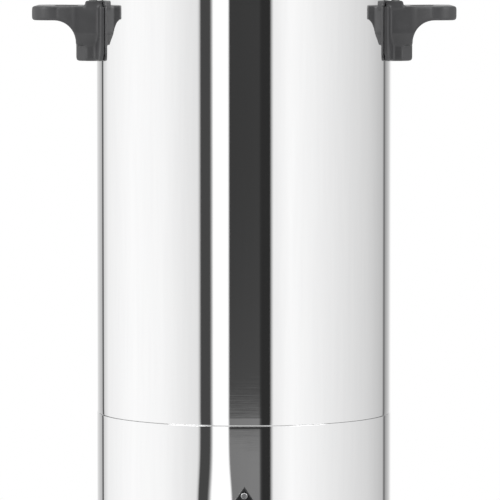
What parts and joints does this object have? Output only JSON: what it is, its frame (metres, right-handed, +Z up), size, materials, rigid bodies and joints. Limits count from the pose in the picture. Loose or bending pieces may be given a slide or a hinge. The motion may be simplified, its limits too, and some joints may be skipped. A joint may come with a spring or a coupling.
{
  "type": "coffee urn",
  "caption": "Tall percolating coffee urn: polished double-walled cylinder, black loop handles, lift-off lid and a sprung lever tap.",
  "frame": {"origin": "on the urn's axis in the plane that it stands on", "axes": "+Z up along the urn's axis, -Y towards the tap at the front, +X towards the right-hand handle seen from the front"},
  "size_m": [0.3284, 0.3321, 0.553],
  "materials": {
    "polished_steel": "mirror polished stainless steel",
    "tank_steel": "satin stainless steel",
    "black_plastic": "semi-gloss moulded black",
    "tap_plastic": "semi-gloss moulded black",
    "pump_aluminium": "satin",
    "bright_screw": "bright",
    "black_rubber": "matte",
    "silicone": "matte",
    "plated_steel": "zinc plated",
    "heater_sheath": "dull sheath",
    "control_plastic": "matte",
    "rocker_plastic": "gloss",
    "brass_pin": "bright",
    "wire_sleeve": "matte",
    "green_lens": "clear tinted",
    "amber_lens": "clear tinted"
  },
  "bodies": {
    "root": {"base_ring": "black_plastic", "bottom_plate": "plated_steel", "bottom_plate_screws": "bright_screw", "brew_heater": "heater_sheath", "centre_stud": "bright_screw", "earth_screw": "bright_screw", "handle_backing_plates": "plated_steel", "handle_screws": "bright_screw", "heat_shield": "plated_steel", "heater_clamp_plate": "plated_steel", "inlet_pins": "brass_pin", "inlet_screws": "bright_screw", "internal_wires": "wire_sleeve", "lamp_holders": "control_plastic", "left_handle": "black_plastic", "lever_pin": "bright_screw", "lower_shell": "polished_steel", "power_inlet": "control_plastic", "power_lamp_lens": "green_lens", "ready_lamp_lens": "amber_lens", "right_handle": "black_plastic", "rubber_sole": "black_rubber", "seam_gasket": "black_rubber", "shield_screws": "bright_screw", "shield_spacer": "plated_steel", "stud_nuts": "bright_screw", "switch_housing": "control_plastic", "switch_terminals": "brass_pin", "tank": "tank_steel", "tap_body": "tap_plastic", "tap_bonnet": "tap_plastic", "tap_lock_nut": "tap_plastic", "tap_shield": "black_plastic", "tap_spacer": "silicone", "tap_spring": "bright_screw", "tap_washer": "silicone", "terminal_block": "control_plastic", "thermal_cutout": "control_plastic", "thermostat": "control_plastic", "upper_shell": "polished_steel", "warm_heater": "plated_steel"},
    "pump": {"pump_stem": "pump_aluminium"},
    "basket": {"coffee_basket": "tank_steel"},
    "cover": {"basket_cover": "tank_steel"},
    "lid": {"lid": "polished_steel", "lid_knob": "black_plastic", "knob_screw": "bright_screw"},
    "lever": {"tap_lever": "tap_plastic"},
    "valve": {"valve_stem": "bright_screw", "valve_seal": "silicone", "stem_pin": "bright_screw"},
    "rocker": {"switch_rocker": "rocker_plastic"}
  },
  "joints": [
    {"name": "pump_lift", "type": "slide", "parent": "root", "child": "pump", "axis": [0, 0, 1], "range_m": [0, 0.45]},
    {"name": "basket_lift", "type": "slide", "parent": "pump", "child": "basket", "axis": [0, 0, 1], "range_m": [0, 0.125]},
    {"name": "cover_lift", "type": "slide", "parent": "basket", "child": "cover", "axis": [0, 0, 1], "range_m": [0, 0.04]},
    {"name": "lid_lift", "type": "slide", "parent": "cover", "child": "lid", "axis": [0, 0, 1], "range_m": [0, 0.12]},
    {"name": "tap_lever_turn", "type": "hinge", "parent": "root", "child": "lever", "pos_m": [0, -0.16, 0.113], "axis": [1, 0, 0], "range_deg": [0, 25], "stiffness_Nm_per_rad": 0.4, "springref_deg": -17.19},
    {"name": "valve_lift", "type": "slide", "parent": "root", "child": "valve", "axis": [0, 0, 1], "range_m": [0, 0.00349], "deforming": ["tap_spring"]},
    {"name": "switch_rock", "type": "hinge", "parent": "root", "child": "rocker", "pos_m": [0.05199, -0.1066, 0.0195], "axis": [-0.8988, -0.4384, 0], "range_deg": [0, 16]}
  ],
  "couplings": [
    {"joint": "tap_lever_turn", "follows": "valve_lift", "rad_per_m": 125}
  ]
}
